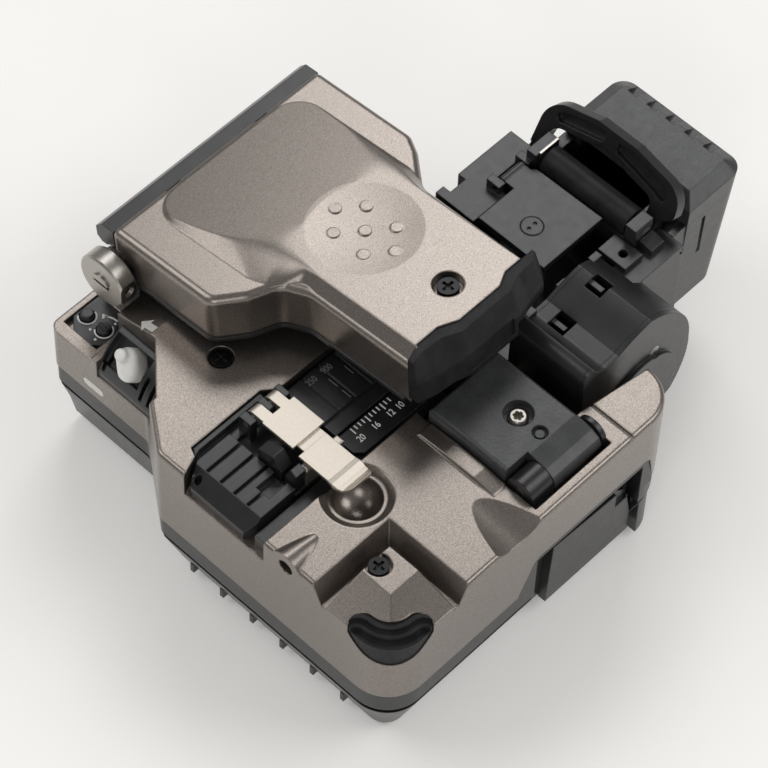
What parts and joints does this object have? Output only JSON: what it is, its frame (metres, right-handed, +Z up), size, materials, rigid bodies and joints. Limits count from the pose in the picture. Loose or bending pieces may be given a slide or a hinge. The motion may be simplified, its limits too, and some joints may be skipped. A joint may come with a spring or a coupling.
{
  "type": "optical fibre cleaver",
  "caption": "Bench optical fibre cleaver: sprung hinged lid over a fibre channel, clamp leaf adapter, guard block, sliding blade and geared scrap collector with bin.",
  "frame": {"origin": "on the table plane under the centre of the bounding box, with the lid at its raised rest angle", "axes": "+X along the fibre from the adapter to the scrap bin, +Y from the front edge to the lid hinge, +Z up"},
  "size_m": [0.118, 0.0952, 0.0587],
  "materials": {
    "bronze_paint": "warm grey-brown metallic lacquer with a fine sparkle",
    "black_plastic": "satin black moulding",
    "grained_plastic": "black moulding with a fine spark-eroded grain",
    "black_rubber": "soft black rubber",
    "bright_steel": "bright turned steel",
    "black_screw": "blackened steel",
    "white_plastic": "glossy white moulding",
    "leaf_metal": "satin spring steel with a warm tint",
    "blade_carbide": "ground hard metal"
  },
  "bodies": {
    "base": {"adapter_bar": "leaf_metal", "adapter_jaws": "black_plastic", "adapter_plate": "black_plastic", "bail_pins": "bright_steel", "base_feet": "black_rubber", "base_tray": "black_plastic", "bin_catch": "black_plastic", "block_lugs": "black_plastic", "block_pin": "bright_steel", "bottom_screws": "black_screw", "carriage_rods": "bright_steel", "channel_bed": "black_plastic", "collar_screw": "bright_steel", "collector_frame": "black_plastic", "corner_cushion": "black_rubber", "cover_strip": "black_plastic", "deck_screws": "black_screw", "drum_axle": "bright_steel", "front_cover": "black_plastic", "gear_cover": "black_plastic", "gear_end_plate": "black_plastic", "guide_plate": "black_plastic", "hinge_bracket": "black_plastic", "hinge_collar": "bright_steel", "hinge_shaft": "bright_steel", "leaf_pin": "bright_steel", "lock_panel": "black_plastic", "lower_pads": "black_rubber", "middle_frame": "black_plastic", "path_pin": "bright_steel", "scale_plate": "black_plastic", "shaft_ear": "black_plastic", "side_leaf": "bright_steel", "slider_rail": "black_plastic", "top_housing": "bronze_paint"},
    "lid": {"lid_shell": "bronze_paint", "lid_liner": "black_plastic", "lid_bumper": "black_rubber", "lid_screw": "black_screw", "upper_pads": "black_rubber", "anvil": "bright_steel"},
    "lock slider": {"lock_slider": "white_plastic"},
    "link button": {"link_button": "black_plastic"},
    "link dial": {"link_dial": "black_plastic"},
    "clamp leaf": {"clamp_leaf": "leaf_metal"},
    "guard block": {"guard_block": "grained_plastic", "block_screw": "bright_steel"},
    "blade carriage": {"carriage": "black_plastic", "blade_axle": "bright_steel"},
    "blade": {"blade_disc": "blade_carbide"},
    "path cover": {"path_cover": "black_plastic", "path_screw": "black_plastic"},
    "upper roller": {"upper_roller": "black_rubber", "upper_roller_shaft": "bright_steel"},
    "lower roller": {"lower_roller": "black_rubber", "lower_roller_shaft": "bright_steel"},
    "drum": {"drive_drum": "black_plastic"},
    "bail": {"bail": "black_plastic"},
    "scrap bin": {"bin_body": "black_plastic", "bin_cap": "grained_plastic"}
  },
  "joints": [
    {"name": "lid_hinge", "type": "hinge", "parent": "base", "child": "lid", "pos_m": [-0.0114, 0.04125, 0.0412], "axis": [-1, 0, 0], "range_deg": [-5.4, 75]},
    {"name": "lock_slide", "type": "slide", "parent": "base", "child": "lock slider", "axis": [0, 1, 0], "range_m": [0, 0.0026]},
    {"name": "button_press", "type": "slide", "parent": "base", "child": "link button", "axis": [0, 0, -1], "range_m": [0, 0.0008], "stiffness_N_per_m": 300, "springref_m": -0.0002},
    {"name": "dial_turn", "type": "hinge", "parent": "base", "child": "link dial", "pos_m": [-0.0429, 0.03995, 0.029], "axis": [0, 0, 1], "range_deg": [-45, 45]},
    {"name": "leaf_hinge", "type": "hinge", "parent": "base", "child": "clamp leaf", "pos_m": [-0.0396, 0.00175, 0.0404], "axis": [-1, 0, 0], "range_deg": [0, 95]},
    {"name": "guard_hinge", "type": "hinge", "parent": "base", "child": "guard block", "pos_m": [-0.0118, -0.04125, 0.039], "axis": [1, 0, 0], "range_deg": [0, 10]},
    {"name": "carriage_slide", "type": "slide", "parent": "base", "child": "blade carriage", "axis": [0, 1, 0], "range_m": [0, 0.028]},
    {"name": "blade_turn", "type": "hinge", "parent": "blade carriage", "child": "blade", "pos_m": [-0.0116, -0.02315, 0.0298], "axis": [1, 0, 0], "continuous": true},
    {"name": "path_cover_hinge", "type": "hinge", "parent": "base", "child": "path cover", "pos_m": [0.0282, 0.00595, 0.0412], "axis": [-1, 0, 0], "range_deg": [0, 75]},
    {"name": "lower_roller_turn", "type": "hinge", "parent": "base", "child": "lower roller", "pos_m": [0.0355, -0.00695, 0.0354], "axis": [0, 1, 0], "continuous": true},
    {"name": "upper_roller_turn", "type": "hinge", "parent": "base", "child": "upper roller", "pos_m": [0.0355, -0.00695, 0.0414], "axis": [0, 1, 0], "continuous": true},
    {"name": "drum_turn", "type": "hinge", "parent": "base", "child": "drum", "pos_m": [0.0215, -0.03065, 0.0336], "axis": [0, 1, 0], "continuous": true},
    {"name": "bail_hinge", "type": "hinge", "parent": "base", "child": "bail", "pos_m": [0.0395, -0.00665, 0.0376], "axis": [0, -1, 0], "range_deg": [0, 12]},
    {"name": "bin_slide", "type": "slide", "parent": "base", "child": "scrap bin", "axis": [1, 0, 0], "range_m": [0, 0.02]}
  ],
  "couplings": [
    {"joint": "upper_roller_turn", "follows": "lower_roller_turn", "ratio": -1},
    {"joint": "drum_turn", "follows": "lower_roller_turn", "ratio": -0.7}
  ]
}
